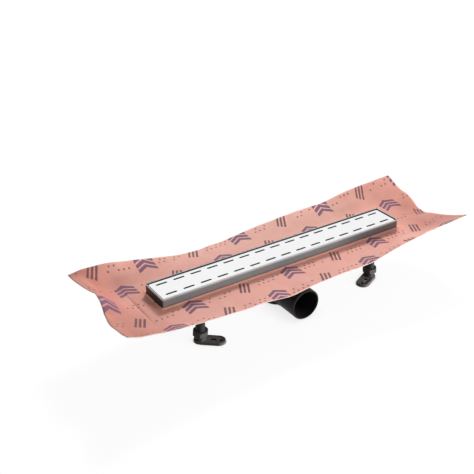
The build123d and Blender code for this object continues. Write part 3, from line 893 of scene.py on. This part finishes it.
class DRAIN_OT_steelwork(bpy.types.Operator):
    """Finish the channel, the cover, the strainer and the steel fixings"""

    bl_idname = "drain.steelwork"
    bl_label = "Steelwork"

    def execute(self, context):
        finish = context.scene.drain_finish
        # Painted shade on the channel's ends along X, to the right and inside the upstand, with a painted
        # highlight on its top.
        dress("channel_body", brushed_steel(
            "channel_steel", finish.channel_color, dark=0.75, roughness=0.42, metallic=0.45, end_shade_tone=0.12,
            rim_highlight=2.25))
        # Painted shade: the upright faces of the cover and the strainer, such as the slots' walls, are made
        # nearly black.
        bright = brushed_steel(
            "cover_steel", finish.cover_color, dark=0.95, roughness=0.30, metallic=1.0, upright_shade_tone=0.06)
        dress("cover_grate", bright)
        dress("hair_strainer", bright)
        plated = brushed_steel(
            "fixing_steel", finish.fixing_color, dark=0.8, roughness=0.38, metallic=1.0)
        for leg in LEG_NAMES:
            dress(f"leg_bush_{leg}", plated)
            dress(f"lock_nut_{leg}", plated)
        return {"FINISHED"}


class DRAIN_OT_trap(bpy.types.Operator):
    """Finish the trap, its inserts and its gaskets"""

    bl_idname = "drain.trap"
    bl_label = "Trap"

    def execute(self, context):
        finish = context.scene.drain_finish
        dress("trap_body", moulding(
            "trap_plastic", finish.trap_color, TRAP_FLOW, roughness=0.46, gloss=0.10))
        insert = moulding("insert_plastic", finish.insert_color, INSERT_FLOW, roughness=0.42, gloss=0.4)
        for node in ("waste_flange", "dip_tube", "siphon_cup"):
            dress(node, insert)
        rubber = moulding("gasket_rubber", finish.rubber_color, RUBBER_FLOW, roughness=0.72, gloss=0.3)
        for node in ("lower_gasket", "upper_gasket", "dip_tube_seal"):
            dress(node, rubber)
        return {"FINISHED"}


THREAD_SINK = 0.1 * MM      # depth of the ridge's foot inside the stud
RUN_OUT = 0.5               # turns over which the ridge ends


def thread_mesh(thread, axis_x, axis_y):
    """Helical ridge round an upright stud, with its ends run out to nothing."""
    built = bmesh.new()
    turns = (thread.high - thread.low) / thread.pitch
    count = round(turns * thread.steps)
    sunk_r = thread.stud_radius - THREAD_SINK
    rings = []
    for i in range(count + 1):
        angle = 2 * math.pi * i / thread.steps
        z = thread.low + thread.pitch * i / thread.steps
        full = min(1.0, i / thread.steps / RUN_OUT, (count - i) / thread.steps / RUN_OUT)
        crest_r = sunk_r + (thread.stud_radius + thread.height - sunk_r) * full
        outline = (
            (sunk_r, -thread.root / 2), (crest_r, -thread.crest / 2), (crest_r, thread.crest / 2),
            (sunk_r, thread.root / 2))
        rings.append([
            built.verts.new((axis_x + r * math.cos(angle), axis_y + r * math.sin(angle), z + off))
            for r, off in outline])
    for ring, following in zip(rings, rings[1:]):
        for k in range(4):
            built.faces.new((ring[k], following[k], following[k - 3], ring[k - 3]))
    built.faces.new(rings[0])
    built.faces.new(reversed(rings[-1]))
    bmesh.ops.recalc_face_normals(built, faces=built.faces)
    mesh = bpy.data.meshes.new("stud_thread")
    built.to_mesh(mesh)
    built.free()
    return mesh


class DRAIN_OT_levelling_legs(bpy.types.Operator):
    """Finish the levelling bolts and their pads, and cut the studs' threads"""

    bl_idname = "drain.levelling_legs"
    bl_label = "Levelling legs"

    def execute(self, context):
        finish = context.scene.drain_finish
        dark = moulding(
            "leg_plastic", finish.leg_color, LEG_FLOW, roughness=0.50, gloss=0.14, toned=leg_tone)
        for leg in LEG_NAMES:
            dress(f"levelling_bolt_{leg}", dark)
            dress(f"foot_pad_{leg}", dark)
            low, size = node_size(f"leg_bush_{leg}")
            mesh = thread_mesh(context.scene.drain_thread, low.x + size.x / 2, low.y + size.y / 2)
            piece = bpy.data.objects.new(f"stud_thread_{leg}", mesh)
            context.scene.collection.objects.link(piece)
            set_materials(piece, dark)
            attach(piece, f"{leg}_bolt")
        return {"FINISHED"}


def soft_lamp(name, place, aim, power, size, mirrored):
    """Square soft lamp that faces a point, seen in reflections or not."""
    lamp = bpy.data.lights.new(name, "AREA")
    lamp.energy = power
    lamp.size = size
    holder = bpy.data.objects.new(name, lamp)
    holder.location = place
    holder.rotation_mode = "QUATERNION"
    holder.rotation_quaternion = (Vector(aim) - Vector(place)).to_track_quat("-Z", "Y")
    holder.visible_glossy = mirrored
    bpy.context.scene.collection.objects.link(holder)


def seen_directly(wiring):
    """1 for what the camera, a reflection or a see-through surface looks at, else 0."""
    path = wiring.node("ShaderNodeLightPath")
    seen = wiring.math("MAXIMUM", path.outputs["Is Camera Ray"], path.outputs["Is Glossy Ray"])
    return wiring.math("MAXIMUM", seen, path.outputs["Is Transmission Ray"])


# Lamps: name, power in the settings, place, aim, side, seen in reflections
LAMPS = (
    ("key_lamp", "key_power", (1.3, 1.5, 1.63), (0, 0, 0.07), 0.52, False),
    ("fill_lamp", "fill_power", (0.9, -1.5, 0.9), (0, 0, 0.05), 0.9, True),
    ("low_lamp", "low_power", (0.45, -1.1, 0.12), (0, 0, 0.03), 0.4, False),
)
SURROUND_TILT = 0.5         # share by which the soft light is weaker from the left
SENSOR_WIDTH = 36.0         # in millimetres
FLOOR_CLOUDS = 3.0          # noise of the floor's faint clouds
CONTACT_REACH = 8 * MM      # of the painted dark contact shadow round a pad
SHADOW_REACH = 30 * MM      # of the faint painted shadow round it
PIPE_STEP = (40 * MM, 60 * MM)  # distances from the middle between which the painted contact shadow starts


class DRAIN_OT_stage(bpy.types.Operator):
    """Set up the pale floor, the soft lamps and the camera"""

    bl_idname = "drain.stage"
    bl_label = "Stage"

    def execute(self, context):
        stage = context.scene.drain_stage
        scene = context.scene
        scene.view_settings.view_transform = "Standard"
        self.lay_floor(scene, stage)
        self.light(scene, stage)
        self.place_camera(scene, stage)
        return {"FINISHED"}

    def lay_floor(self, scene, stage):
        half = stage.floor_size / 2
        corners = [(-half, -half, 0), (half, -half, 0), (half, half, 0), (-half, half, 0)]
        mesh = bpy.data.meshes.new("floor")
        mesh.from_pydata(corners, [], [(0, 1, 2, 3)])
        floor = bpy.data.objects.new("floor", mesh)
        scene.collection.objects.link(floor)
        material, wiring, shader = new_finish("pale_floor")
        place = wiring.stretched()
        seen = seen_directly(wiring)
        clouds = wiring.spread(wiring.noise(place, FLOOR_CLOUDS), 0.3, 0.7, 0.98, 1.0)
        tone = wiring.product(clouds, wiring.between(seen, 1.0, stage.floor_shade))
        off_middle = wiring.absolute(wiring.split(place)["X"])
        # Painted shadow: the floor's glow is dimmed where it is hemmed in. It is darkest round the pads,
        # faint further out, and left out under the pipe.
        painted_contact_shadow = wiring.math(
            "MAXIMUM", wiring.spread(self.openness(wiring, CONTACT_REACH), 0.5, 0.75),
            wiring.spread(off_middle, *PIPE_STEP, 1.0, 0.0))
        shadow = wiring.spread(self.openness(wiring, SHADOW_REACH), 0.0, 0.9, stage.floor_shadow, 1.0)
        glow = wiring.product(seen, stage.floor_glow, wiring.product(painted_contact_shadow, shadow))
        wiring.feed(shader, {
            "Base Color": wiring.dimmed(tone, opaque(stage.floor_color)),
            "Roughness": 0.9,
            "Specular IOR Level": 0.1,
            "Emission Color": wiring.dimmed(glow, WHITE),
            "Emission Strength": 1.0,
        })
        below = wiring.node("ShaderNodeMixShader")
        wiring.plug(wiring.node("ShaderNodeNewGeometry").outputs["Backfacing"], below.inputs[0])
        wiring.plug(shader.outputs[0], below.inputs[1])
        wiring.plug(wiring.node("ShaderNodeBsdfTransparent").outputs[0], below.inputs[2])
        wiring.plug(below.outputs[0], material.node_tree.nodes["Material Output"].inputs["Surface"])
        mesh.materials.append(material)

    def openness(self, wiring, reach):
        """Share of the sky above a point of the floor that is free within a reach."""
        made = wiring.node("ShaderNodeAmbientOcclusion", samples=8)
        made.inputs["Distance"].default_value = reach
        return made.outputs["AO"]

    def light(self, scene, stage):
        world = bpy.data.worlds.new("studio")
        scene.world = world
        world.use_nodes = True
        wiring = Wiring(world.node_tree)
        around = world.node_tree.nodes["Background"]
        around.inputs["Color"].default_value = WHITE
        heading = wiring.split(wiring.node("ShaderNodeTexCoord").outputs["Generated"])
        weak, strong = (stage.surround * (1 + share) for share in (-SURROUND_TILT, SURROUND_TILT))
        soft = wiring.spread(heading["X"], -1.0, 1.0, weak, strong)
        strength = wiring.between(seen_directly(wiring), soft, 1.0)
        wiring.plug(strength, around.inputs["Strength"])
        for name, power, place, aim, size, mirrored in LAMPS:
            soft_lamp(name, place, aim, getattr(stage, power), size, mirrored)

    def place_camera(self, scene, stage):
        lens = bpy.data.cameras.new("camera")
        lens.lens = stage.lens
        lens.sensor_width = SENSOR_WIDTH
        holder = bpy.data.objects.new("camera", lens)
        flat = math.cos(stage.elevation)
        back = Vector((
            math.sin(stage.azimuth) * flat, -math.cos(stage.azimuth) * flat, math.sin(stage.elevation)))
        holder.location = stage.eye
        holder.rotation_mode = "QUATERNION"
        holder.rotation_quaternion = (-back).to_track_quat("-Z", "Y")
        scene.collection.objects.link(holder)
        scene.camera = holder


OPERATORS = (
    DRAIN_OT_sealing_sheet,
    DRAIN_OT_steelwork,
    DRAIN_OT_trap,
    DRAIN_OT_levelling_legs,
    DRAIN_OT_stage,
)
SETTINGS = {
    "drain_sheet": SheetSettings,
    "drain_finish": FinishSettings,
    "drain_thread": ThreadSettings,
    "drain_stage": StageSettings,
}


class DRAIN_PT_sidebar(bpy.types.Panel):
    """Pieces of the drain and their settings"""

    bl_idname = "DRAIN_PT_sidebar"
    bl_label = "Drain"
    bl_space_type = "VIEW_3D"
    bl_region_type = "UI"
    bl_category = "Drain"

    def draw(self, context):
        for operator in OPERATORS:
            self.layout.operator(operator.bl_idname)
        for holder, group in SETTINGS.items():
            box = self.layout.box()
            for name in group.__annotations__:
                box.prop(getattr(context.scene, holder), name)


def register():
    for made in (*SETTINGS.values(), *OPERATORS, DRAIN_PT_sidebar):
        bpy.utils.register_class(made)
    for holder, group in SETTINGS.items():
        setattr(bpy.types.Scene, holder, PointerProperty(type=group))


def unregister():
    for holder in SETTINGS:
        delattr(bpy.types.Scene, holder)
    for made in reversed((*SETTINGS.values(), *OPERATORS, DRAIN_PT_sidebar)):
        bpy.utils.unregister_class(made)


def main():
    register()
    bpy.ops.drain.sealing_sheet()
    bpy.ops.drain.steelwork()
    bpy.ops.drain.trap()
    bpy.ops.drain.levelling_legs()
    bpy.ops.drain.stage()


if __name__ == "__main__":
    main()
